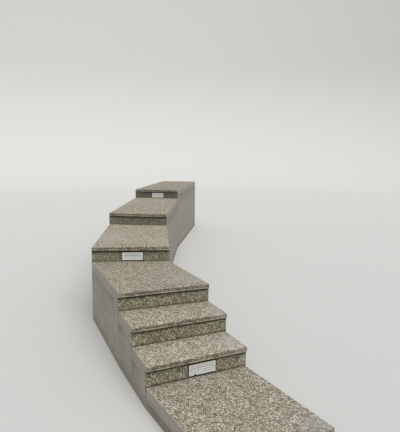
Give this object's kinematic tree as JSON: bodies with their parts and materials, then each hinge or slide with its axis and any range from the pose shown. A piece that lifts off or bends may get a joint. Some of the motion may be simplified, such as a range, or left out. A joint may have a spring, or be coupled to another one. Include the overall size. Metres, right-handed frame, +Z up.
{
  "type": "curving exposed aggregate garden steps with step lights",
  "caption": "Curving run of garden steps in exposed aggregate concrete, with overhanging nosings, riser and side walls, and low white louvred lights in the risers.",
  "frame": {"origin": "middle of the footprint's bounding box, at the level of the lowest ground", "axes": "+Z up, +Y up the path along its longest extent, +X to the right when walking up"},
  "size_m": [2.2395, 10.586, 1.19],
  "materials": {
    "tread_concrete": "exposed aggregate, matt",
    "riser_concrete": "exposed aggregate, matt",
    "wall_concrete": "formed concrete, matt",
    "light_white": "semi-gloss white paint",
    "louvre_white": "satin white paint",
    "frosted_glass": "frosted",
    "galvanised": "galvanised"
  },
  "bodies": {
    "root": {"tread_0": "tread_concrete", "tread_1": "tread_concrete", "tread_2": "tread_concrete", "tread_3": "tread_concrete", "tread_4": "tread_concrete", "tread_5": "tread_concrete", "tread_6": "tread_concrete", "riser_0": "riser_concrete", "riser_1": "riser_concrete", "riser_2": "riser_concrete", "riser_3": "riser_concrete", "riser_4": "riser_concrete", "riser_5": "riser_concrete", "riser_6": "riser_concrete", "left_wall_0": "wall_concrete", "left_wall_1": "wall_concrete", "left_wall_2": "wall_concrete", "left_wall_3": "wall_concrete", "left_wall_4": "wall_concrete", "left_wall_5": "wall_concrete", "left_wall_6": "wall_concrete", "right_wall_0": "wall_concrete", "right_wall_1": "wall_concrete", "right_wall_2": "wall_concrete", "right_wall_3": "wall_concrete", "right_wall_4": "wall_concrete", "right_wall_5": "wall_concrete", "right_wall_6": "wall_concrete", "end_wall": "wall_concrete", "light_plate_1": "light_white", "light_plate_4": "light_white", "light_plate_6": "light_white", "light_louvre_1": "louvre_white", "light_louvre_4": "louvre_white", "light_louvre_6": "louvre_white", "light_lens_1": "frosted_glass", "light_lens_4": "frosted_glass", "light_lens_6": "frosted_glass", "light_box_1": "galvanised", "light_box_4": "galvanised", "light_box_6": "galvanised"}
  },
  "joints": []
}
